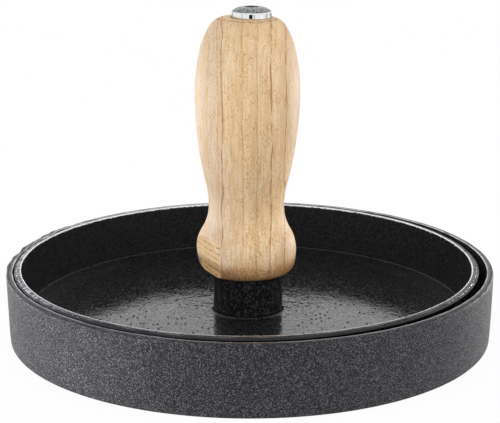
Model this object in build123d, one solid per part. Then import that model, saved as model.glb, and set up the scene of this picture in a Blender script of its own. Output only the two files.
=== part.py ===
from build123d import *
from math import radians, sin, tan
import os

# Burger press: a cast-iron base dish, and a cast-iron press dish with a turned wooden handle
# that drops into it. Millimetres, +Z up. The origin is the middle of the base's underside.

# Base dish
base_radius = 76.2          # outside of the rim
base_height = 21.8          # table to rim
base_wall = 2.0             # thickness of the rim
base_floor = 3.0            # thickness of the floor
base_draft = 1.5            # degrees: the wall opens upwards, to leave the mould
base_foot_bevel = 0.4       # outer edge, where it stands on the table
base_corner_bevel = 1.0     # inside corner between wall and floor

# Press dish
rim_gap = 1.35              # between the two rims, all round when centred
rest_shift = -1.05          # along X: the press lies nearer one side of the base
press_height = 19.1         # underside to rim
press_wall = 2.3            # thickness of the rim
press_floor = 3.6           # thickness of the floor
press_foot_bevel = 1.6      # outer edge of the pressing face
press_corner_round = 0.6    # inside corner between wall and floor
press_draft = 3.0           # degrees
rim_bevel = 0.35            # edges of both rims

# Boss for the handle
boss_radius = 10.7          # at its top
boss_height = 12.7          # above the press dish's floor
boss_shift = 0.45           # along X: the boss stands off the dish's middle
boss_draft = 1.5            # degrees
boss_foot_round = 0.9       # flare into the floor
boss_top_bevel = 0.4

# Handle: the turned outline, from the boss upwards
handle_length = 79.8
handle_shift = -0.2         # along X, from the press dish's middle
handle_lean = 0.5           # degrees towards +X: the handle stands a little out of true
foot_radius = 13.0          # flat that sits on the boss
heel_radius = 15.3          # where the foot's round meets the flare
heel_height = 2.5
flare_radius = 15.75
flare_height = 6.8
waist_radius = 11.8
waist_height = 20.9
belly_radius = 16.2
belly_below_top = 23.3
shoulder_radius = 14.65     # where the belly's curve meets the round top
shoulder_below_top = 9.8
brow_radius = 11.7          # where the round top tightens
brow_below_top = 2.6
crown_radius = 8.0          # flat round the bolt's head
flare_share = 0.46          # how far down to the waist the flare's curve turns hollow
waist_share = 0.2           # how far up to the belly the hollow turns full
flat_distance = 12.05       # flat planed on one side of the foot, from the axis at its lower end
flat_lean = 9.6             # degrees: the flat runs outwards as it rises
flat_turn = 206.0           # degrees about the axis, from +X

# Bolt
bolt_radius = 3.0
thread_engagement = 10.6    # depth of the shank in the boss
head_radius = 6.05
head_band = 2.3             # straight side of the head
head_dome = 1.4             # rise of the rounded top
head_edge_bevel = 0.2
socket_width = 4.0          # across flats
socket_depth = 2.0
tip_chamfer = 0.8
bolt_shift = 1.1            # along X: the bolt stands off the handle's centre

# Fits
bore_gap = 0.5              # bolt in the handle's bore, all round
thread_gap = 0.05           # bolt in the boss's hole, all round
hole_spare = 1.2            # hole below the bolt's tip
head_seat_gap = 0.3         # head in its spot face, all round
head_seat_depth = 0.4       # spot face below the handle's flat top

# Heights and radii that follow from the sizes above
base_slope = tan(radians(base_draft))
press_slope = tan(radians(press_draft))
boss_slope = tan(radians(boss_draft))
base_inside = base_radius - base_wall
press_radius = base_inside - rim_gap
press_inside = press_radius - press_wall
press_bottom = base_floor
press_top = press_bottom + press_height
dish_floor = press_bottom + press_floor
boss_top = dish_floor + boss_height
head_seat = handle_length - head_seat_depth
bolt_length = head_seat + thread_engagement
foot_trim = foot_radius * sin(radians(handle_lean))

# The press's own axis, the handle's leaning one from the boss's top, and the line that the bolt,
# its bore and its hole share.
press_axis = Location((rest_shift, 0, 0))
handle_axis = Location((rest_shift + handle_shift, 0, boss_top), (0, handle_lean, 0))
bolt_axis = handle_axis * Location((bolt_shift, 0, 0))


def turned(outline):
    """Solid of revolution about Z, from a closed face drawn in XZ."""
    return revolve(outline, Axis.Z)


def broken(face, corners):
    """Break corners of a face: each is a point (x, z), the operation and its size."""
    for (x, z), operation, amount in corners:
        corner = face.vertices().sort_by_distance((x, 0, z))[0]
        face = operation(corner, amount)
    return face


def dish_outline(radius, inside, bottom, top, floor, slope):
    """Half section of a round dish with drafted walls, and its four outer corners."""
    foot = (radius - slope * (top - bottom), bottom)
    outer_rim = (radius, top)
    inner_rim = (inside, top)
    corner = (inside - slope * (top - floor), floor)
    section = Polyline((0, bottom), foot, outer_rim, inner_rim, corner, (0, floor), close=True)
    face = make_face(Plane.XZ * section)
    return face, foot, outer_rim, inner_rim, corner


def make_base_dish():
    face, foot, outer_rim, inner_rim, corner = dish_outline(
        base_radius, base_inside, 0, base_height, base_floor, base_slope
    )
    edges = [
        (foot, chamfer, base_foot_bevel),
        (outer_rim, chamfer, rim_bevel),
        (inner_rim, chamfer, rim_bevel),
        (corner, chamfer, base_corner_bevel),
    ]
    return turned(broken(face, edges))


def make_press_dish():
    face, foot, outer_rim, inner_rim, corner = dish_outline(
        press_radius, press_inside, press_bottom, press_top, dish_floor, press_slope
    )
    edges = [
        (foot, chamfer, press_foot_bevel),
        (outer_rim, chamfer, rim_bevel),
        (inner_rim, chamfer, rim_bevel),
        (corner, fillet, press_corner_round),
    ]
    dish = turned(broken(face, edges))
    boss_foot_radius = boss_radius + boss_slope * boss_height
    boss_section = Polyline(
        (0, press_bottom + press_floor / 2),
        (boss_foot_radius + 2 * boss_foot_round, press_bottom + press_floor / 2),
        (boss_foot_radius + 2 * boss_foot_round, dish_floor),
        (boss_foot_radius, dish_floor),
        (boss_radius, boss_top),
        (0, boss_top),
        close=True,
    )
    boss_edges = [
        ((boss_foot_radius, dish_floor), fillet, boss_foot_round),
        ((boss_radius, boss_top), chamfer, boss_top_bevel),
    ]
    boss = turned(broken(make_face(Plane.XZ * boss_section), boss_edges))
    return press_axis * (dish + Location((boss_shift, 0, 0)) * boss) - make_boss_hole()


def make_boss_hole():
    """Blind hole for the bolt, along the bolt's own axis and open at the boss's top."""
    depth = thread_engagement + hole_spare
    hole = Cylinder(bolt_radius + thread_gap, 2 * depth)
    return bolt_axis * hole


def swell(low, high, share):
    """Two arcs that are upright at both points and meet in line, at a share of the way up."""
    middle = tuple(a + share * (b - a) for a, b in zip(low, high))
    return [TangentArc(low, middle, tangent=(0, 1)), TangentArc(high, middle, tangent=(0, -1))]


def handle_side():
    """The turned outline: foot, flare, waist, belly, shoulder and crown, all in tangent arcs."""
    foot = (foot_radius, 0)
    heel = (heel_radius, heel_height)
    flare = (flare_radius, flare_height)
    waist = (waist_radius, waist_height)
    belly = (belly_radius, handle_length - belly_below_top)
    shoulder = (shoulder_radius, handle_length - shoulder_below_top)
    brow = (brow_radius, handle_length - brow_below_top)
    crown = (crown_radius, handle_length)
    below_flare = TangentArc(flare, heel, tangent=(0, -1))
    foot_round = TangentArc(heel, foot, tangent=below_flare % 1)
    above_belly = TangentArc(belly, shoulder, tangent=(0, 1))
    round_top = TangentArc(shoulder, brow, tangent=above_belly % 1)
    crown_edge = TangentArc(brow, crown, tangent=round_top % 1)
    hollow = swell(flare, waist, flare_share) + swell(waist, belly, waist_share)
    return [foot_round, below_flare, *hollow, above_belly, round_top, crown_edge]


def make_handle():
    """Turned body with the flat on its foot, trimmed flush with the boss, then bored."""
    spare = 2 * foot_trim
    ends = Polyline(
        (crown_radius, handle_length),
        (0, handle_length),
        (0, -spare),
        (foot_radius, -spare),
        (foot_radius, 0),
    )
    outline = Curve() + handle_side() + ends
    body = handle_axis * (turned(make_face(Plane.XZ * outline)) - make_planed_off())
    below_boss = Box(
        4 * flare_radius,
        4 * flare_radius,
        flare_height,
        align=(Align.CENTER, Align.CENTER, Align.MAX),
    )
    body = body - Location((rest_shift, 0, boss_top)) * below_boss
    bore = Cylinder(bolt_radius + bore_gap, 3 * handle_length)
    seat = Cylinder(
        head_radius + head_seat_gap,
        handle_length,
        align=(Align.CENTER, Align.CENTER, Align.MIN),
    )
    head_seat_axis = bolt_axis * Location((0, 0, head_seat))
    return body - bolt_axis * bore - head_seat_axis * seat


def make_planed_off():
    """What the flat on the foot takes away: a block whose inner side is the flat."""
    side = 4 * flare_radius
    block = Box(side, side, side, align=(Align.MIN, Align.CENTER, Align.CENTER))
    flat = Location((flat_distance, 0, 0), (0, flat_lean, 0))
    return Location((0, 0, 0), (0, 0, flat_turn)) * flat * block


def make_handle_bolt():
    """One turned piece: tip, shank, head with a domed top, and a hexagon socket."""
    head_top = head_band + head_dome
    section = Polyline(
        (0, -bolt_length),
        (bolt_radius - tip_chamfer, -bolt_length),
        (bolt_radius, -bolt_length + tip_chamfer),
        (bolt_radius, 0),
        (head_radius, 0),
        (head_radius, head_band),
    )
    dome = TangentArc((0, head_top), (head_radius, head_band), tangent=(1, 0))
    core = Line((0, head_top), (0, -bolt_length))
    face = make_face(Plane.XZ * (section + dome + core))
    face = broken(face, [((head_radius, head_band), chamfer, head_edge_bevel)])
    socket = extrude(
        RegularPolygon(socket_width / 2, 6, major_radius=False), amount=socket_depth + head_dome
    )
    bolt = turned(face) - Location((0, 0, head_top - socket_depth)) * socket
    return bolt_axis * Location((0, 0, head_seat)) * bolt


parts = {
    "base_dish": make_base_dish(),
    "press_dish": make_press_dish(),
    "handle": make_handle(),
    "handle_bolt": make_handle_bolt(),
}

os.makedirs("parts", exist_ok=True)
for name, solid in parts.items():
    solid.label = name
    export_step(solid, f"parts/{name}.step")
    print(name, "volume", round(solid.volume / 1000, 2), "cm3")
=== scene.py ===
from math import atan2, cos, hypot, pi, radians, sin, tan

import bmesh
import bpy
import numpy as np
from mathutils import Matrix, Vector, noise


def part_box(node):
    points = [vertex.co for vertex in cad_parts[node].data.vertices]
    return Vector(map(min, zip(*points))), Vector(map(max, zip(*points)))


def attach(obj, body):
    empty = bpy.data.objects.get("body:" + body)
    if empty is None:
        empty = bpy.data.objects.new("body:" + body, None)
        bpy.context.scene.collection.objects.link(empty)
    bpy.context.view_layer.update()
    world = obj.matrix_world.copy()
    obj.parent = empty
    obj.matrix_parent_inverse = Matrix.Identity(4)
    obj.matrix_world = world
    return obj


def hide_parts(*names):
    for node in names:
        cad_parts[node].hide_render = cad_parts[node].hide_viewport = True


# Burger press: a shallow cast-iron base dish, and a cast-iron press dish with a turned wooden
# handle that drops into it. Outlines are in millimetres and become metres when a mesh is made.

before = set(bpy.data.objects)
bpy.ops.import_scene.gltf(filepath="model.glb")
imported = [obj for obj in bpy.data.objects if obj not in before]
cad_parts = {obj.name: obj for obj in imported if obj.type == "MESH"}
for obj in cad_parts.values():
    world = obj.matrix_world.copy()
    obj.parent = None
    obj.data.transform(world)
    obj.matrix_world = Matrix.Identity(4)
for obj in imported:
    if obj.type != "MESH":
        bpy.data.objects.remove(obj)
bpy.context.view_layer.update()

MM = 0.001


def corners_mm(node):
    """A CAD node's lowest and highest corners, in millimetres."""
    return tuple(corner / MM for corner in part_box(node))


# Sizes that the frame gives
base_high = corners_mm("base_dish")[1]
press_low, press_high = corners_mm("press_dish")
base_radius = base_high.x
base_height = base_high.z
press_x = (press_low.x + press_high.x) / 2
press_radius = (press_high.x - press_low.x) / 2
press_bottom = press_low.z
press_top = press_high.z
boss_top = corners_mm("handle")[0].z

# Castings
base_wall = 2.0
base_floor = 3.0
base_slope = tan(radians(1.5))
base_foot_round = 0.4
base_corner_round = 1.5
base_lip_rounds = (0.9, 0.3)        # outer and inner edge of the rim
press_wall = 2.3
press_floor = 3.6
press_slope = tan(radians(3.0))
press_foot_round = 2.0
press_corner_round = 0.35
press_lip = (1.2, 0.62)             # width and height of the slope outside the rim
press_slope_rounds = (0.15, 1.2)    # its lower and upper edge
press_inner_round = 0.3             # inner edge of the rim
boss_radius = 10.7
boss_shift = 0.45
boss_slope = tan(radians(1.5))
boss_foot_round = 0.7
boss_top_round = 0.5
dish_floor = press_bottom + press_floor

# What casting and filing left: walls that bulge or shrink, rims that stand low, high or uneven,
# and a floor in the press dish that dips, and falls to the rear
base_bulge = 0.08
base_rim_drop = 0.25
filing_starts = (128, 142)          # degrees round from +X: none at the first, full at the second
filing_ends = (186, 200)
press_shrink = 0.05
press_rim_rise = 0.12
floor_dip = 0.6
floor_fall = 0.01                   # slope to the rear, along the middle
side_fall = (1.0, 28, 48)           # as much again at both sides, from 28 to 48 mm out
left_fall = (0.9, 34, 48)           # and nearly as much again at the left

# Handle, from the boss's top upwards
handle_length = 79.8
handle_shift = -0.2
handle_lean = radians(0.5)
foot_radius = 13.0
heel = (15.3, 2.5)
flare = (15.75, 6.8)
waist = (11.8, 20.9)
belly = (16.2, handle_length - 23.3)
shoulder = (14.65, handle_length - 9.8)
brow = (11.7, handle_length - 2.6)
crown_radius = 8.0
flare_share = 0.46
waist_share = 0.2
flat_distance = 12.05
flat_slope = tan(radians(9.6))
flat_turn = radians(206)
bore_radius = 3.5
seat_radius = 6.35
seat_height = handle_length - 0.4

# Bolt
bolt_shift = 1.1
bolt_radius = 3.0
thread_pitch = 1.0
thread_depth = 0.55
thread_length = 18.0
thread_engagement = 10.6
hole_radius = 3.05
hole_depth = 11.8
head_radius = 6.05
head_band = 2.3
head_dome = 1.4
head_dome_edge = 0.45               # from the dome's curve to the side of the head
head_edge_round = 0.1
head_foot_bevel = (0.2, 0.25)
socket_width = 4.0
socket_depth = 2.0
socket_edge_bevel = 0.12            # how far down its edge begins
socket_mouth = 1.05                 # how far out its edge ends, as a share of its radius
tip_chamfer = 0.8

# Fineness of the meshes
arc_points = 7                      # on each rounded corner
casting_segments = 640
handle_segments = 288
bolt_segments = 96
rings_in_pitch = 8


# Outlines: lists of (radius, height) that run along a section


def arc(start, end, tangent, step=0.6):
    """Points on the arc that leaves start along tangent and reaches end, and its last direction."""
    across, up = end[0] - start[0], end[1] - start[1]
    along = across * tangent[0] + up * tangent[1]
    aside = up * tangent[0] - across * tangent[1]
    turn = 2 * atan2(aside, along)
    curvature = 2 * aside / (across**2 + up**2)
    count = max(2, round(abs(turn / curvature) / step))
    points = []
    for i in range(count + 1):
        angle = turn * i / count
        forward = sin(angle) / curvature
        sideways = (1 - cos(angle)) / curvature
        points.append((
            start[0] + forward * tangent[0] - sideways * tangent[1],
            start[1] + forward * tangent[1] + sideways * tangent[0],
        ))
    last = (
        cos(turn) * tangent[0] - sin(turn) * tangent[1],
        cos(turn) * tangent[1] + sin(turn) * tangent[0],
    )
    return points, last


def straight(start, end, step):
    """Points from start to end, both included, at most step apart."""
    count = max(1, int(np.ceil(hypot(end[0] - start[0], end[1] - start[1]) / step)))
    return [
        (start[0] + (end[0] - start[0]) * i / count, start[1] + (end[1] - start[1]) * i / count)
        for i in range(count + 1)
    ]


def joined(*runs):
    """One run of points from several, without the points that two runs share."""
    points = [runs[0][0]]
    for run in runs:
        for point in run:
            if hypot(point[0] - points[-1][0], point[1] - points[-1][1]) > 1e-4:
                points.append(point)
    return points


def rounded(corners):
    """Points along corners given as (radius, height, rounding, spacing of the run that follows)."""
    runs = []
    at = np.array(corners[0][:2], float)
    for before, corner, after in zip(corners, corners[1:], corners[2:]):
        point = np.array(corner[:2], float)
        into = (point - before[:2]) / np.linalg.norm(point - before[:2])
        out = (after[:2] - point) / np.linalg.norm(after[:2] - point)
        half_turn = np.arccos(np.clip(into @ out, -1, 1)) / 2
        reach = corner[2] * tan(half_turn)
        start, end = point - reach * into, point + reach * out
        runs.append(straight(tuple(at), tuple(start), before[3]))
        if corner[2] > 0:
            size = 2 * corner[2] * half_turn
            runs.append(arc(tuple(start), tuple(end), tuple(into), size / arc_points)[0])
        at = end
    runs.append(straight(tuple(at), tuple(corners[-1][:2]), corners[-2][3]))
    return joined(*runs)


def base_outline():
    """Underside, outer wall, rim, inner wall and floor of the base dish."""
    foot = base_radius - base_slope * base_height
    inside = base_radius - base_wall
    corner = inside - base_slope * (base_height - base_floor)
    return rounded([
        (0, 0, 0, 3.0),
        (foot, 0, base_foot_round, 0.7),
        (base_radius, base_height, base_lip_rounds[0], 0.3),
        (inside, base_height, base_lip_rounds[1], 1.2),
        (corner, base_floor, base_corner_round, 5.0),
        (0, base_floor, 0, 1.0),
    ])


def press_outline():
    """Pressing face, outer wall, rim, inner wall, floor, boss and bolt hole of the press dish."""
    inside = press_radius - press_wall
    foot = press_radius - press_slope * (press_top - press_bottom)
    corner = inside - press_slope * (press_top - dish_floor)
    boss_foot = boss_radius + boss_slope * (boss_top - dish_floor)
    return rounded([
        (0, press_bottom, 0, 6.0),
        (foot, press_bottom, press_foot_round, 2.0),
        (press_radius, press_top - press_lip[1], press_slope_rounds[0], 0.3),
        (press_radius - press_lip[0], press_top, press_slope_rounds[1], 0.3),
        (inside, press_top, press_inner_round, 1.0),
        (corner, dish_floor, press_corner_round, 1.7),
        (boss_foot, dish_floor, boss_foot_round, 1.3),
        (boss_radius, boss_top, boss_top_round, 1.2),
        (hole_radius, boss_top, 0, 2.0),
        (hole_radius, boss_top - hole_depth, 0, 1.6),
        (0, boss_top - hole_depth, 0, 1.0),
    ])


def swell(low, high, share):
    """From low to high, upright at both, in two arcs that meet at a share of the way."""
    middle = tuple(a + share * (b - a) for a, b in zip(low, high))
    return joined(arc(low, middle, (0, 1))[0], arc(high, middle, (0, -1))[0][::-1])


def handle_side():
    """The turned side, from the foot's edge up to the crown."""
    below_flare, direction = arc(flare, heel, (0, -1))
    foot_round = arc(heel, (foot_radius, 0), direction)[0]
    above_belly, direction = arc(belly, shoulder, (0, 1))
    round_top, direction = arc(shoulder, brow, direction)
    crown_edge = arc(brow, (crown_radius, handle_length), direction, 0.4)[0]
    return joined(
        joined(below_flare, foot_round)[::-1],
        swell(flare, waist, flare_share),
        swell(waist, belly, waist_share),
        above_belly,
        round_top,
        crown_edge,
    )


def head_top(radius):
    """Height of the head's rounded top above its seat: flat in the middle, with full shoulders."""
    return head_band + head_dome * (1 - (radius / head_radius) ** 4)


def head_outline():
    """Top of the bolt, from the middle of its dome to the shank, as (radius, height above seat)."""
    dome_radius = head_radius - head_dome_edge
    dome = [(radius, head_top(radius)) for radius in np.linspace(0, dome_radius, 24)]
    slope = 4 * head_dome / head_radius * (dome_radius / head_radius) ** 3
    direction = (1 / hypot(1, slope), -slope / hypot(1, slope))
    side_top = (head_radius, head_band - head_edge_round)
    side_foot = (head_radius, head_foot_bevel[1])
    edge = arc(dome[-1], side_top, direction, 0.08)[0]
    side = straight(side_top, side_foot, 0.3)
    foot = straight(side_foot, (head_radius - head_foot_bevel[0], 0), 0.1)
    return joined(dome, edge, side, foot)


# Meshes


def grid_mesh(name, rings, closed):
    """A mesh through rings of points, an array (rings, points in a ring, 3) in metres. A closed
    one joins its last ring to its first, and an open one ends in two points on the axis."""
    ring_count, segments = rings.shape[:2]
    if closed:
        points = rings.reshape(-1, 3)
        index = np.arange(ring_count * segments).reshape(ring_count, segments)
        index = np.vstack([index, index[:1]])
        caps = []
    else:
        points = np.vstack([rings[0].mean(0), rings[1:-1].reshape(-1, 3), rings[-1].mean(0)])
        index = 1 + np.arange((ring_count - 2) * segments).reshape(-1, segments)
        last = len(points) - 1
        first_ring, last_ring = index[0].tolist(), index[-1].tolist()
        after = [*range(1, segments), 0]
        caps = [(0, first_ring[after[i]], first_ring[i]) for i in range(segments)]
        caps += [(last, last_ring[i], last_ring[after[i]]) for i in range(segments)]
    here, above = index[:-1], index[1:]
    quads = np.stack([here, np.roll(here, -1, 1), np.roll(above, -1, 1), above], -1).reshape(-1, 4)
    mesh = bpy.data.meshes.new(name)
    mesh.from_pydata(points.tolist(), [], quads.tolist() + caps)
    shell = bmesh.new()
    shell.from_mesh(mesh)
    bmesh.ops.recalc_face_normals(shell, faces=shell.faces)
    shell.to_mesh(mesh)
    shell.free()
    mesh.shade_smooth()
    piece = bpy.data.objects.new(name, mesh)
    bpy.context.scene.collection.objects.link(piece)
    return piece


def ring_angles(segments):
    """Where the points of a ring stand, in radians round from +X."""
    return np.arange(segments) * 2 * pi / segments


def around_z(radius, height, segments):
    """Points round Z, for a radius and a height that may change by ring and by point."""
    angle = ring_angles(segments)
    x, y, z = np.broadcast_arrays(radius * np.cos(angle), radius * np.sin(angle), height)
    return np.stack([x, y, z], -1)


def turned_rings(outline, segments, shifts=0.0):
    """Rings of points about Z for an outline, in millimetres. shifts move a ring along X."""
    radius, height = np.array(outline, float).T
    rings = around_z(radius[:, None], height[:, None], segments)
    rings[..., 0] += np.broadcast_to(shifts, radius.shape)[:, None]
    return rings


def ring_normals(outline, segments):
    """The outward direction at each point of turned rings."""
    along = np.gradient(np.array(outline, float), axis=0)
    across = np.stack([along[:, 1], -along[:, 0]], -1)
    across /= np.linalg.norm(across, axis=1, keepdims=True) + 1e-9
    return around_z(across[:, :1], across[:, 1:], segments)


def lumps(rings, depth, size, seed):
    """Smooth noise over rings of points, with features of a depth and a size in mm."""
    offset = Vector((seed, 2.3 * seed, 5.1 * seed))
    flat = rings.reshape(-1, 3) / size
    values = [noise.noise(Vector(point) + offset) for point in flat]
    return depth * np.array(values).reshape(rings.shape[:2])


def fade(value, low, high):
    """0 below low, 1 above high and smooth between, for arrays."""
    share = np.clip((value - low) / (high - low), 0, 1)
    return share * share * (3 - 2 * share)


def make_base():
    """The base dish, which bulges a little outside and has an uneven rim where it is filed."""
    outline = base_outline()
    rings = turned_rings(outline, casting_segments)
    radius, height = np.array(outline)[:, :1], np.array(outline)[:, 1:]
    outside = fade(radius, base_radius - 4.5, base_radius - 3.5) * fade(height, 0.5, 3.0)
    rim = fade(height, base_height - 3.0, base_height - 0.6)
    turn = np.degrees(np.arctan2(rings[..., 1], rings[..., 0])) % 360
    filed = fade(turn, *filing_starts) * (1 - fade(turn, *filing_ends))
    swelling = lumps(rings, depth=0.07, size=16.0, seed=3.0)
    swelling += lumps(rings, depth=0.03, size=4.0, seed=8.0)
    swelling += lumps(rings, depth=rim * (0.04 + 0.5 * filed), size=7.5, seed=13.0)
    swelling += lumps(rings, depth=rim * (0.02 + 0.2 * filed), size=2.8, seed=27.0)
    outwards = ring_normals(outline, casting_segments)
    rings += outwards * (outside * (swelling + base_bulge))[..., None]
    rings[..., 2] -= base_rim_drop * fade(height, base_height - 3.0, base_height)
    return grid_mesh("base_casting", rings * MM, closed=False)


def make_press():
    """The press dish, whose boss and bolt hole stand off its middle. Its floor falls to the rear,
    most of all near its two sides, and more at the left."""
    outline = press_outline()
    radius, height = np.array(outline).T
    upper = np.arange(len(radius)) > np.argmax(height)
    in_hole = upper & (radius < hole_radius + 0.01) & (height < boss_top + 0.01)
    hole_shift = handle_shift + bolt_shift + (height - boss_top) * tan(handle_lean)
    off_centre = boss_shift * (1 - fade(radius, boss_radius + 3, boss_radius + 12)) * upper
    rings = turned_rings(outline, casting_segments, np.where(in_hole, hole_shift, off_centre))
    inside = (upper & (height < boss_top - 0.5) & ~in_hole)[:, None]
    inner_wall = fade(radius, press_radius - 12, press_radius - 5)[:, None]
    steeper = 1 + side_fall[0] * fade(np.abs(rings[..., 0]), *side_fall[1:])
    steeper += left_fall[0] * fade(-rings[..., 0], *left_fall[1:])
    sunk = floor_dip + floor_fall * steeper * rings[..., 1]
    rings[..., 2] -= inside * (1 - inner_wall) * sunk
    rings[..., 0] += press_x
    shown = fade(height, press_bottom + 0.5, press_bottom + 2.5) * ~in_hole
    shown *= fade(boss_top - height, 0, 0.6) + fade(radius, boss_radius, boss_radius + 1)
    shown = np.clip(shown, 0, 1)[:, None]
    rim = fade(height, press_top - 1.0, press_top - 0.4)[:, None]
    swelling = lumps(rings, depth=0.05, size=18.0, seed=21.0)
    swelling += lumps(rings, depth=0.012, size=5.0, seed=34.0)
    swelling += lumps(rings, depth=0.05 * rim, size=2.2, seed=55.0)
    outwards = ring_normals(outline, casting_segments)
    rings += outwards * (shown * (swelling - press_shrink))[..., None]
    rings[..., 2] += press_rim_rise * rim
    return grid_mesh("press_casting", rings * MM, closed=False)


def lean(points):
    """From the handle's own axes to the object's, in millimetres."""
    x, y, z = points[..., 0], points[..., 1], points[..., 2]
    return np.stack([
        press_x + handle_shift + x * cos(handle_lean) + z * sin(handle_lean),
        y,
        boss_top + z * cos(handle_lean) - x * sin(handle_lean),
    ], -1)


def make_handle():
    """The turned body, with its bore and spot face on the bolt's axis, the flat planed on one side
    of its foot, and the foot trimmed flush with the boss."""
    top = straight((crown_radius, handle_length), (seat_radius, handle_length), 0.4)
    seat = joined(
        straight((seat_radius, handle_length), (seat_radius, seat_height), 0.2),
        straight((seat_radius, seat_height), (bore_radius, seat_height), 1.0),
    )
    bore = straight((bore_radius, seat_height), (bore_radius, 0), 8.0)
    foot = straight((bore_radius, 0), (foot_radius, 0), 1.5)
    outer = joined(handle_side(), top)
    down_to_foot = joined(outer, seat, bore)
    outline = joined(down_to_foot, foot)[:-1]
    inner = np.zeros(len(outline), bool)
    inner[len(outer) - 1:len(down_to_foot)] = True
    rings = turned_rings(outline, handle_segments, np.where(inner, bolt_shift, 0.0))
    turn = ring_angles(handle_segments) - flat_turn
    reach = (flat_distance + flat_slope * rings[..., 2]) / np.maximum(np.cos(turn), 0.05)
    radius = np.hypot(rings[..., 0], rings[..., 1])
    planed = np.where(inner[:, None], 1, np.minimum(1, reach / np.maximum(radius, 1e-6)))
    rings[..., :2] *= planed[..., None]
    rings = lean(rings)
    rings[..., 2] = np.maximum(rings[..., 2], boss_top)
    rings[len(down_to_foot) - 1:, :, 2] = boss_top
    return grid_mesh("handle_wood_body", rings * MM, closed=True)


def hexagon(angle):
    """Radius of the socket at an angle, for a socket one unit across its flats."""
    return 0.5 / np.cos((angle + pi / 6) % (pi / 3) - pi / 6)


def socket_rings():
    """Rings from the middle of the socket's floor up to its mouth in the head's top."""
    radius = socket_width * hexagon(ring_angles(bolt_segments))
    floor = head_band + head_dome - socket_depth
    places = [
        (0.0, floor),
        (0.5, floor),
        (1.0, floor),
        (1.0, head_top(radius) - socket_edge_bevel),
        (socket_mouth, head_top(socket_mouth * radius)),
    ]
    return np.stack([around_z(share * radius, height, bolt_segments) for share, height in places])


def shank_rings(tip):
    """Plain shank below the head, then a helical thread down to the chamfered tip."""
    thread_top = tip + thread_length
    threaded = np.linspace(thread_top, tip, int(thread_length * rings_in_pitch / thread_pitch) + 1)
    plain = [0.0, -0.3, -20.0, -50.0, thread_top + 0.5]
    heights = np.array([*plain, *threaded])[:, None]
    turn = heights / thread_pitch - ring_angles(bolt_segments) / (2 * pi)
    wave = np.abs(2 * (turn % 1) - 1)
    groove = np.clip(1.4 * wave - 0.2, 0, 1)
    in_thread = fade(thread_top - heights, 0, thread_pitch)
    radius = bolt_radius - thread_depth * groove * in_thread
    radius = np.minimum(radius, bolt_radius - tip_chamfer + (heights - tip))
    middle = around_z(0.0, tip, bolt_segments)
    return np.concatenate([around_z(radius, heights, bolt_segments), middle[None]])


def make_bolt():
    """Socket, head, shank and thread, in one turned piece."""
    socket_reach = 0.62 * socket_width
    past_socket = [point for point in head_outline() if point[0] > socket_reach]
    rings = np.concatenate([
        socket_rings(),
        turned_rings(past_socket, bolt_segments),
        shank_rings(tip=-seat_height - thread_engagement),
    ])
    rings += (bolt_shift, 0, seat_height)
    bolt = grid_mesh("bolt_turned", lean(rings) * MM, closed=False)
    bolt.data.set_sharp_from_angle(angle=radians(35))
    return bolt


# Materials


def linear(red, green, blue):
    """A colour given as it shows on screen, 0 to 255, as Blender's linear values."""
    def channel(value):
        value /= 255
        return value / 12.92 if value <= 0.04045 else ((value + 0.055) / 1.055) ** 2.4
    return (channel(red), channel(green), channel(blue), 1.0)


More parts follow.
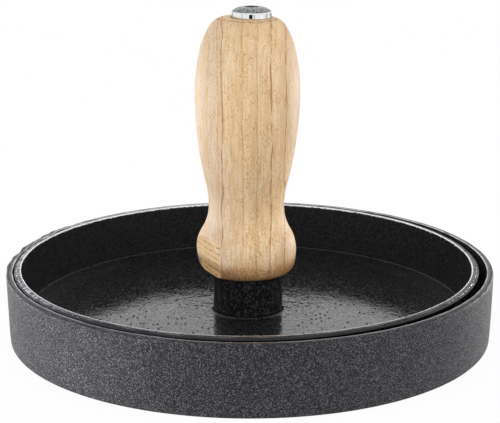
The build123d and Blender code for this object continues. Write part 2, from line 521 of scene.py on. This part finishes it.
class Nodes:
    """A material's nodes, added by kind. An input is given by name, as a value or as a socket."""

    def __init__(self, name):
        self.material = bpy.data.materials.new(name)
        self.material.use_nodes = True
        self.tree = self.material.node_tree
        self.tree.nodes.clear()

    def put(self, socket, value):
        """Link a socket's value to an input, or set it when it is a plain one."""
        if isinstance(value, bpy.types.NodeSocket):
            self.tree.links.new(value, socket)
        else:
            socket.default_value = value

    def add(self, kind, inputs=None, **settings):
        """A node of a kind, with its inputs and settings."""
        node = self.tree.nodes.new("ShaderNode" + kind)
        for key, value in settings.items():
            setattr(node, key, value)
        for key, value in (inputs or {}).items():
            self.put(node.inputs[key], value)
        return node

    def math(self, operation, *values, clamp=False):
        inputs = dict(enumerate(values))
        return self.add("Math", inputs, operation=operation, use_clamp=clamp).outputs[0]

    def plus(self, first, second):
        return self.math("ADD", first, second)

    def minus(self, first, second):
        return self.math("SUBTRACT", first, second)

    def times(self, first, *others):
        """The product of two or more values."""
        for other in others:
            first = self.math("MULTIPLY", first, other)
        return first

    def over(self, first, second):
        return self.math("DIVIDE", first, second)

    def apart(self, first, second):
        """How far two values are from each other."""
        return self.math("ABSOLUTE", self.minus(first, second))

    def larger(self, first, second):
        return self.math("MAXIMUM", first, second)

    def ramp(self, value, low, high, start=0.0, end=1.0):
        """A smooth step from start, where the value is low, to end, where it is high."""
        inputs = {"Value": value, 1: low, 2: high, 3: start, 4: end}
        return self.add("MapRange", inputs, interpolation_type="SMOOTHSTEP").outputs[0]

    def blend(self, share, first, second):
        """A plain number between two others."""
        inputs = {"Value": share, 3: first, 4: second}
        return self.add("MapRange", inputs).outputs[0]

    def mix(self, share, first, second, blend="MIX"):
        """A colour between two others, or the first changed by the second."""
        node = self.add("Mix", {0: share}, data_type="RGBA", blend_type=blend)
        self.put(node.inputs[6], first)
        self.put(node.inputs[7], second)
        return node.outputs[2]

    def tinted(self, share, colour, tint):
        """A colour multiplied by a tint."""
        return self.mix(share, colour, tint, blend="MULTIPLY")

    def millimetres(self, stretch=(1, 1, 1)):
        """Place on the object in mm, divided by a stretch along each axis."""
        place = self.add("TexCoord").outputs["Object"]
        scale = tuple(1 / (MM * value) for value in stretch)
        return self.add("VectorMath", {0: place, 1: scale}, operation="MULTIPLY").outputs[0]

    def from_axis(self, x, y, axis_x=0.0):
        """Distance from an upright axis at axis_x."""
        x = self.minus(x, axis_x)
        squares = self.plus(self.math("POWER", x, 2), self.math("POWER", y, 2))
        return self.math("SQRT", squares)

    def noise(self, place, size, detail=2.0, roughness=0.5):
        """Smooth noise, 0 to 1, with features of a size in mm at its coarsest."""
        inputs = {"Vector": place, "Scale": 1 / size, "Detail": detail, "Roughness": roughness}
        return self.add("TexNoise", inputs).outputs["Fac"]

    def grains(self, place, size):
        """Sand grains of a size in mm: their height, 0 to 1, and a shade for each, 0 to 1."""
        grain = self.add("TexVoronoi", {"Vector": place, "Scale": 1 / size}, feature="F1")
        height = self.minus(1.0, grain.outputs["Distance"])
        shade = self.add("SeparateXYZ", {0: grain.outputs["Color"]}).outputs["X"]
        return height, shade

    def tool_marks(self, x, y, radius, length=8, width=0.42):
        """Noise drawn out round the axis, as a turning tool or a file leaves on a rim."""
        place = [self.over(x, length), self.over(y, length), self.over(radius, width)]
        return self.noise(self.add("CombineXYZ", dict(enumerate(place))).outputs[0], 1.0)

    def relief(self, *layers):
        """The normal that heights give, each with its depth in mm and laid on those before it."""
        normal = {}
        for height, depth in layers:
            inputs = {"Height": height, "Strength": 1.0, "Distance": depth * MM, **normal}
            normal = {"Normal": self.add("Bump", inputs).outputs[0]}
        return normal["Normal"]

    def finish(self, shader):
        """The material, with this shader as its surface."""
        self.add("OutputMaterial", {"Surface": shader})
        return self.material

    def principled(self, inputs):
        """The material, with one shader that has these inputs."""
        return self.finish(self.add("BsdfPrincipled", inputs).outputs[0])


# Iron, in linear colours
sand_grey = (0.94, 0.94, 1.0, 1)
iron_tint = (0.91, 0.91, 1.0, 1)
base_black = (0.002, 0.002, 0.0025, 1)
base_bare = (0.8, 0.8, 0.82, 1)
press_black = (0.003, 0.003, 0.0035, 1)
press_bare = (0.92, 0.92, 0.94, 1)
rubbed_inset = 0.2                  # from a dish's inner wall to the middle of its bare edge


def cast_iron(name):
    """Black seasoned iron with the fine sandy skin of its mould, and a turned rim whose inner
    edge is rubbed bare."""
    n = Nodes(name)
    place = n.millimetres()
    grain, shade = n.grains(place, size=0.21)
    wide = n.noise(place, size=5.0)
    patch = n.noise(place, size=1.6)
    x, y, height = n.add("SeparateXYZ", {0: place}).outputs
    radius = n.from_axis(x, y)
    turned = n.tool_marks(x, y, radius)
    rim = n.ramp(radius, base_radius - 0.7, base_radius - 1.1)
    rim = n.times(rim, n.ramp(height, base_height - 0.8, base_height - 0.6))
    edge = n.apart(radius, base_radius - base_wall + rubbed_inset)
    bare = n.times(n.ramp(edge, 0.25, 0.1), n.ramp(wide, 0.3, 0.6, 0.2, 0.8), rim)
    specks = n.times(n.ramp(shade, 0.62, 1.0, 0.0, 0.115), n.ramp(wide, 0.25, 0.75, 0.8, 1.15))
    marks = n.ramp(turned, 0.4, 0.7, 0.0, 0.08)
    colour = n.mix(n.blend(rim, specks, marks), base_black, sand_grey)
    colour = n.mix(bare, colour, base_bare)
    sandy = n.ramp(shade, 0.1, 0.7, 0.75, 0.4)
    smooth = n.ramp(turned, 0.3, 0.7, 0.15, 0.4)
    normal = n.relief(
        (n.times(grain, n.ramp(rim, 0, 1, 1.0, 0.4)), 0.07),
        (n.times(patch, rim), 0.2),
        (n.times(turned, rim), 0.1),
    )
    return n.principled({
        "Base Color": colour, "Metallic": bare, "Roughness": n.blend(rim, sandy, smooth),
        "Normal": normal, "Specular IOR Level": 0.36, "Specular Tint": iron_tint,
    })


def dish_iron(name):
    """The press dish: the same iron, glossy, rippled and pitted on its floor, sandy on walls and
    boss, and turned at its rim, with painted light that makes the rim brighter at the left."""
    n = Nodes(name)
    place = n.millimetres()
    grain, shade = n.grains(place, size=0.42)
    patch = n.noise(place, size=1.5)
    wide = n.noise(place, size=6.0)
    x, y, height = n.add("SeparateXYZ", {0: place}).outputs
    radius = n.from_axis(x, y, press_x)
    from_boss = n.from_axis(x, y, press_x + boss_shift)
    turned = n.tool_marks(x, y, radius)

    # Regions: boss, all that stands above the floor, the slope outside the rim, and the rim
    boss = n.ramp(from_boss, boss_radius + 2.5, boss_radius + 1.2)
    walls = n.ramp(height, dish_floor + 0.2, dish_floor + 0.9)
    outer = n.ramp(radius, press_radius - 0.9, press_radius - 0.5)
    rim = n.times(outer, n.ramp(height, press_top - 2.2, press_top - 1.8))
    rim = n.larger(rim, n.ramp(height, press_top - 0.5, press_top - 0.35))
    edge = n.apart(radius, press_radius - press_wall + rubbed_inset)
    bare = n.times(n.ramp(edge, 0.34, 0.16), n.ramp(wide, 0.2, 0.45, 0.4, 1.0), rim)

    # Colour
    coarse = n.blend(walls, 0.016, n.blend(boss, 0.022, 0.07))
    spotted = n.blend(boss, n.ramp(shade, 0.0, 1.0), n.ramp(shade, 0.55, 1.0))
    # Painted highlight: the rim's left side is made lighter, standing in for light from the left
    left_rim_painted_light = n.times(n.ramp(x, -50.0, -66.0, 0.0, 0.34), n.ramp(patch, 0.4, 0.6))
    marks = n.plus(n.ramp(turned, 0.4, 0.7, 0.0, 0.08), left_rim_painted_light)
    # Painted shade: the light marks fade on the slope outside the rim, so that it and the gap
    # beside it stay dark
    marks = n.times(marks, n.ramp(outer, 0, 1, 1.0, 0.1))
    colour = n.mix(n.blend(rim, n.times(spotted, coarse), marks), press_black, sand_grey)
    colour = n.mix(bare, colour, press_bare)

    # Roughness: a glossy floor with worn grains and dull pits, matte walls, and a filed rim
    matte = n.ramp(patch, 0.3, 0.7, 0.3, 0.42)
    gloss = n.ramp(wide, 0.35, 0.65, 0.02, 0.04)
    worn = n.ramp(shade, 0.74, 0.8, 0.0, 0.28)
    roughness = n.blend(walls, n.plus(gloss, worn), matte)
    filed = n.blend(outer, n.ramp(turned, 0.3, 0.7, 0.1, 0.35), 0.14)
    roughness = n.blend(rim, roughness, filed)
    nearness, shade_of_pit = n.grains(n.millimetres((1, 2.2, 1)), size=1.4)
    pits = n.times(n.ramp(nearness, 0.74, 0.88), n.ramp(shade_of_pit, 0.5, 0.6))
    roughness = n.math("ADD", roughness, n.times(pits, 0.7), clamp=True)

    # Relief: sand, ripples, waves that are strongest near the boss, pits, and marks on the rim
    ripples = n.noise(n.millimetres((1, 1.5, 1)), size=0.6, detail=1.0)
    waves = n.noise(place, size=2.4, detail=1.0)
    normal = n.relief(
        (n.times(grain, n.ramp(walls, 0, 1, 0.08, 1.0)), 0.06),
        (ripples, 0.035),
        (n.times(waves, n.ramp(from_boss, 28.0, 14.0, 0.05, 0.2)), 1.0),
        (pits, -0.3),
        (n.times(patch, rim, n.ramp(outer, 0, 1, 1.0, 0.2)), 0.32),
        (n.times(turned, rim), 0.08),
    )
    return n.principled({
        "Base Color": colour, "Metallic": bare, "Roughness": roughness, "Normal": normal,
        "Specular IOR Level": 0.32, "Specular Tint": iron_tint,
    })


# Wood: its colours, those that tint what lies under them, some of them painted light and shade, and
# the width of a growth ring
pale_ground = linear(227, 203, 168)
deep_ground = linear(220, 191, 149)
left_grey = linear(203, 185, 161)
right_brown = linear(206, 177, 140)
fibre_brown = linear(192, 154, 108)
late_brown = linear(203, 160, 113)
line_brown = linear(158, 102, 50)
freckle_brown = linear(180, 136, 90)
pore_brown = linear(134, 84, 46)
foot_brown = linear(212, 160, 104)
foot_edge_painted_light = linear(253, 210, 150)
scorch_brown = linear(184, 114, 54)
crown_crease_shade = linear(168, 112, 58)
sawn_brown = linear(188, 156, 112)
saw_mark_brown = linear(118, 88, 56)
lower_left_painted_shade = (0.74, 0.74, 0.78, 1)
upper_right_tint = (0.82, 0.82, 0.85, 1)
middle_painted_light = (1.16, 1.15, 1.12, 1)
sawn_edge_painted_light = (1.8, 1.75, 1.6, 1)
ring_width = 4.3


def growth_rings(n, x, bend, broken):
    """How far through its growth ring a place is, 0 to 1, and how much of a dark line shows."""
    across = n.plus(x, n.ramp(x, -1.5, -8.5, 1.95, 3.9))
    across = n.plus(across, n.times(n.minus(bend, 0.5), 2.4))
    ring = n.math("FRACT", n.plus(n.over(across, ring_width), 20.0))
    line = n.ramp(ring, 0.85, 0.96)
    twin = n.times(n.ramp(n.apart(ring, 0.64), 0.05, 0.02), n.ramp(x, -4.0, -6.5, 0.0, 0.5))
    clear = n.ramp(n.apart(x, -0.3), 3.5, 6.5, 0.3, 0.8)
    clear = n.times(clear, n.ramp(x, -13.0, -10.5, 0.1, 1.0))
    return ring, n.times(n.larger(line, twin), broken, clear)


def wood_ground(n, x, low, ring, line, fibres):
    """Ground colour with fibres and growth lines, darker at the upper right, with painted shade at
    the lower left and painted light in the lower middle.
    """
    tint = n.noise(n.millimetres((1, 1, 5)), size=4.5)
    colour = n.mix(n.ramp(tint, 0.35, 0.65), pale_ground, deep_ground)
    colour = n.mix(n.ramp(x, -6.0, -10.5, 0.0, 0.85), colour, left_grey)
    colour = n.mix(n.ramp(x, 5.0, 12.0, 0.0, 0.6), colour, right_brown)
    colour = n.mix(n.ramp(fibres, 0.42, 0.64, 0.0, 0.65), colour, fibre_brown)
    colour = n.mix(n.ramp(ring, 0.3, 0.95, 0.0, 0.25), colour, late_brown)
    colour = n.mix(line, colour, line_brown)
    # Painted shade: the lower left is darkened to tone down the strong left lamp
    lower_left = n.times(n.ramp(x, -0.5, -8.0), n.ramp(low, 60.0, 15.0))
    colour = n.tinted(lower_left, colour, lower_left_painted_shade)
    upper_right = n.times(n.ramp(x, 8.0, 12.5), n.ramp(low, 30.0, 50.0))
    colour = n.tinted(upper_right, colour, upper_right_tint)
    # Painted light: the lower middle is brightened where less lamp light reaches it
    middle = n.times(n.ramp(n.apart(x, 4.0), 7.0, 3.0), n.ramp(low, 35.0, 10.0))
    return n.tinted(middle, colour, middle_painted_light)


def freckled(n, place, colour):
    """The colour with fine brown freckles, dense in some places and few in others."""
    freckles = n.ramp(n.noise(n.millimetres((1, 1, 1.8)), size=0.34, detail=1.0), 0.52, 0.66)
    dense = n.ramp(n.noise(place, size=4.0, detail=1.0), 0.4, 0.62, 0.25, 0.85)
    return n.mix(n.times(freckles, dense), colour, freckle_brown)


def scorched_foot(n, x, low, colour):
    """The colour with a browner foot, painted light on its lowest edge where shade falls under the
    foot, and scorch marks round it.
    """
    scorch = n.noise(n.millimetres((1, 1, 1.3)), size=0.42, roughness=0.6)
    scorch = n.times(n.ramp(scorch, 0.45, 0.56), n.ramp(low, 7.5, 3.0, 0.0, 0.85))
    scorch = n.times(scorch, n.ramp(x, -9.2, -8.2))
    colour = n.mix(n.ramp(low, 5.0, 2.0, 0.0, 0.4), colour, foot_brown)
    # Painted light: the lowest edge is made pale to lift the shade under the foot
    colour = n.mix(n.ramp(low, 2.4, 0.4, 0.0, 0.9), colour, foot_edge_painted_light)
    return n.mix(scorch, colour, scorch_brown)


def crown_painted_shade(n, x, y, low, bend, fibres, colour):
    """The colour with a broken brown ring near the crown's edge: painted shade for the crease
    there.
    """
    around = n.from_axis(x, y, press_x + handle_shift + handle_length * sin(handle_lean))
    around = n.plus(around, n.times(n.minus(bend, 0.5), 3.0))
    crown = n.ramp(n.apart(around, 9.0), 0.55, 0.2)
    crown = n.times(crown, n.ramp(low, handle_length - 4, handle_length - 3))
    crown = n.times(crown, n.ramp(fibres, 0.35, 0.6, 0.3, 0.8))
    # Painted shade of the crown's crease, in brown
    return n.mix(crown, colour, crown_crease_shade)


def sawn_flat(n, x, y, low, bend, broken, colour):
    """The colour with the planed flat on the foot: duller, crossed by slanting saw marks, and
    painted lighter along its lowest edge, where the rims' shadow falls."""
    slant = n.plus(n.plus(low, n.times(x, 0.08)), n.times(bend, 1.8))
    marks = n.apart(n.math("FRACT", n.over(slant, 1.9)), 0.5)
    marks = n.times(n.ramp(marks, 0.16, 0.06), n.ramp(broken, 0.45, 1.0, 0.1, 0.9))
    planed = n.times(n.ramp(x, -9.0, -9.4), n.ramp(low, 12.5, 11.5), n.ramp(y, 1.0, 0.0))
    colour = n.mix(n.times(planed, 0.65), colour, sawn_brown)
    # Painted light: the flat's lowest edge is brightened against the rims' shadow
    colour = n.tinted(n.times(planed, n.ramp(low, 4.2, 2.8)), colour, sawn_edge_painted_light)
    return n.mix(n.times(planed, marks), colour, saw_mark_brown)


def pale_wood(name):
    """Turned ash with a thin lacquer: growth lines down the front, fibres, freckles, dashes of dark
    pores, a scorched foot, and saw marks across the flat on it."""
    n = Nodes(name)
    place = n.millimetres()
    x, y, z = n.add("SeparateXYZ", {0: place}).outputs
    low = n.minus(z, boss_top)
    bend = n.noise(n.millimetres((1, 2, 4)), size=4.0, detail=3.0, roughness=0.6)
    fibres = n.noise(n.millimetres((1, 4, 18)), size=0.5, detail=3.0, roughness=0.7)
    broken = n.ramp(n.noise(n.millimetres((1, 1, 7)), size=1.1), 0.38, 0.58, 0.35, 1.15)
    ring, line = growth_rings(n, x, bend, broken)
    colour = freckled(n, place, wood_ground(n, x, low, ring, line, fibres))
    pores = n.noise(n.millimetres((1, 1, 11)), size=0.34)
    dashes = n.ramp(n.minus(pores, n.ramp(ring, 0.25, 0.9, 0.74, 0.66)), 0.0, 0.05)
    colour = n.mix(n.times(dashes, 0.8), colour, pore_brown)
    colour = scorched_foot(n, x, low, colour)
    colour = crown_painted_shade(n, x, y, low, bend, fibres, colour)
    colour = sawn_flat(n, x, y, low, bend, broken, colour)
    return n.principled({
        "Base Color": colour, "Roughness": 0.55, "Specular IOR Level": 0.35,
        "Normal": n.relief((n.minus(fibres, n.times(dashes, 0.8)), 0.03)),
    })


def plated_steel(name):
    """Bright plating on the head's side, and a dull mottled grey on its top."""
    bright, grey, pale_grey = linear(232, 233, 232), linear(76, 78, 80), linear(176, 178, 178)
    n = Nodes(name)
    place = n.millimetres()
    grain = n.noise(place, size=0.5, detail=3.0, roughness=0.6)
    height = n.add("SeparateXYZ", {0: place}).outputs["Z"]
    side = boss_top + seat_height + head_band
    top = n.ramp(height, side - 0.1, side + 0.1)
    dull = n.mix(n.ramp(grain, 0.35, 0.65), grey, pale_grey)
    return n.principled({
        "Base Color": n.mix(top, bright, dull), "Metallic": 1.0,
        "Roughness": n.blend(top, 0.018, n.ramp(grain, 0.3, 0.7, 0.3, 0.45)),
        "Normal": n.relief((n.times(grain, n.ramp(top, 0, 1, 0.03, 1.0)), 0.05)),
    })


def dress(piece, node, body, material):
    """Put a finished piece in place of a CAD node."""
    piece.data.materials.append(material)
    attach(piece, body)
    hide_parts(node)


# Stage and camera: metres, and azimuths in degrees, 0 at the camera's side and 90 at +X

floor_half = 6.0
floor_glow = 0.95                   # how white the floor is made, with 0 as plain paper
card_distance = 0.46
card_foot = 0.028                   # above the low lamps
card_panels = 8
cards = {                           # first azimuth, last azimuth, top and grey
    "dark_card": (-14.5, 4.5, 0.06, 0.01),
    "thin_card": (-60.0, -55.0, 0.06, 0.3),
    "slit_card": (11.5, 16.5, 0.05, 0.3),
    "right_card": (58.0, 72.0, 0.06, 0.8),
    "middle_right_card": (72.0, 88.0, 0.06, 0.62),
    "far_right_card": (88.0, 106.0, 0.06, 0.42),
    "right_end_card": (132.0, 172.0, 0.06, 0.3),
    "left_end_card": (-172.0, -140.0, 0.06, 0.3),
}
lamps = {                           # azimuth, elevation, distance, width, height and brightness
    "left_rear_strip": (-125, 1.2, 0.5, 0.3, 0.02, 28.0),
    "left_strip": (-80, 1.2, 0.5, 0.42, 0.02, 363.0),
    "front_right_strip": (48, 1.4, 0.5, 0.26, 0.022, 27.0),
    "right_rear_strip": (125, 1.4, 0.5, 0.3, 0.022, 54.0),
    "back_softbox": (182, 17, 1.2, 0.56, 0.2, 0.55),
}
lamp_grids = {"left_strip": 28}     # degrees that a lamp's light spreads, where it has a grid
camera_place = (0.00005, -0.45454, 0.15959)
camera_tilt = radians(14.96)
camera_lens = 108.0


def make_floor():
    """A pale floor, shown white to the camera and to reflections, with some shadow left in it."""
    mesh = bpy.data.meshes.new("floor")
    corners = [(-1, -1), (1, -1), (1, 1), (-1, 1)]
    mesh.from_pydata([(floor_half * x, floor_half * y, 0) for x, y in corners], [], [range(4)])
    floor = bpy.data.objects.new("floor", mesh)
    bpy.context.scene.collection.objects.link(floor)
    n = Nodes("floor_paper")
    seen = n.add("LightPath").outputs
    direct = n.larger(seen["Is Camera Ray"], seen["Is Glossy Ray"])
    paper = n.add("BsdfDiffuse", {"Color": (0.96, 0.96, 0.96, 1)}).outputs[0]
    white = n.add("Emission", {"Color": (1, 1, 1, 1), "Strength": 1.0}).outputs[0]
    shown = n.add("MixShader", {0: n.times(direct, floor_glow), 1: paper, 2: white}).outputs[0]
    mesh.materials.append(n.finish(shown))


def make_card(name, first, last, top, grey):
    """A card that stands round the object from one azimuth to another, above the low lamps, and is
    seen only where the bright metal mirrors it."""
    mesh = bpy.data.meshes.new(name)
    around = np.radians(np.linspace(first, last, card_panels + 1))
    points = [
        (card_distance * sin(angle), -card_distance * cos(angle), z)
        for z in (card_foot, top) for angle in around
    ]
    above = len(around)
    panels = [(i, i + 1, i + 1 + above, i + above) for i in range(card_panels)]
    mesh.from_pydata(points, [], panels)
    card = bpy.data.objects.new(name, mesh)
    bpy.context.scene.collection.objects.link(card)
    n = Nodes(name + "_paint")
    paint = n.add("BsdfDiffuse", {"Color": (grey, grey, grey, 1)}).outputs[0]
    mesh.materials.append(n.finish(paint))
    card.visible_camera = False
    card.visible_diffuse = False
    card.visible_shadow = False


def light_tent():
    """White all round, as light, to the camera and in reflections."""
    world = bpy.data.worlds.new("light_tent")
    world.use_nodes = True
    background = world.node_tree.nodes["Background"]
    background.inputs["Color"].default_value = (1, 1, 1, 1)
    background.inputs["Strength"].default_value = 1.0
    bpy.context.scene.world = world


def softbox(name, azimuth, elevation, distance, width, height, brightness, spread):
    """A rectangular lamp that faces the object. Its grid, where it has one, keeps its light within
    a spread in degrees, and off what stands to the side."""
    data = bpy.data.lights.new(name, "AREA")
    data.shape = "RECTANGLE"
    data.size = width
    data.size_y = height
    data.energy = brightness * pi * width * height
    if spread:
        half = radians(spread / 2)
        data.spread = 2 * half
        data.energy *= 1 - half / tan(half)
    lamp = bpy.data.objects.new(name, data)
    around, up = radians(azimuth), radians(elevation)
    place = distance * Vector((sin(around) * cos(up), -cos(around) * cos(up), sin(up)))
    lamp.location = place
    lamp.rotation_euler = (-place).to_track_quat("-Z", "Y").to_euler()
    lamp.visible_camera = False
    bpy.context.scene.collection.objects.link(lamp)


def place_camera():
    """The photograph's view: level across, and tilted down."""
    data = bpy.data.cameras.new("camera")
    data.lens = camera_lens
    data.sensor_width = 36.0
    data.sensor_fit = "HORIZONTAL"
    data.clip_start = 0.01
    camera = bpy.data.objects.new("camera", data)
    camera.location = camera_place
    camera.rotation_euler = (pi / 2 - camera_tilt, 0, 0)
    bpy.context.scene.collection.objects.link(camera)
    bpy.context.scene.camera = camera


bpy.context.scene.view_settings.view_transform = "Standard"
place_camera()
light_tent()
for lamp_name, lamp_sizes in lamps.items():
    softbox(lamp_name, *lamp_sizes, spread=lamp_grids.get(lamp_name))
make_floor()
for card_name, card_sizes in cards.items():
    make_card(card_name, *card_sizes)
dress(make_base(), "base_dish", "base", cast_iron("base_iron"))
dress(make_press(), "press_dish", "press", dish_iron("press_iron"))
dress(make_handle(), "handle", "press", pale_wood("handle_wood"))
dress(make_bolt(), "handle_bolt", "press", plated_steel("bolt_metal"))
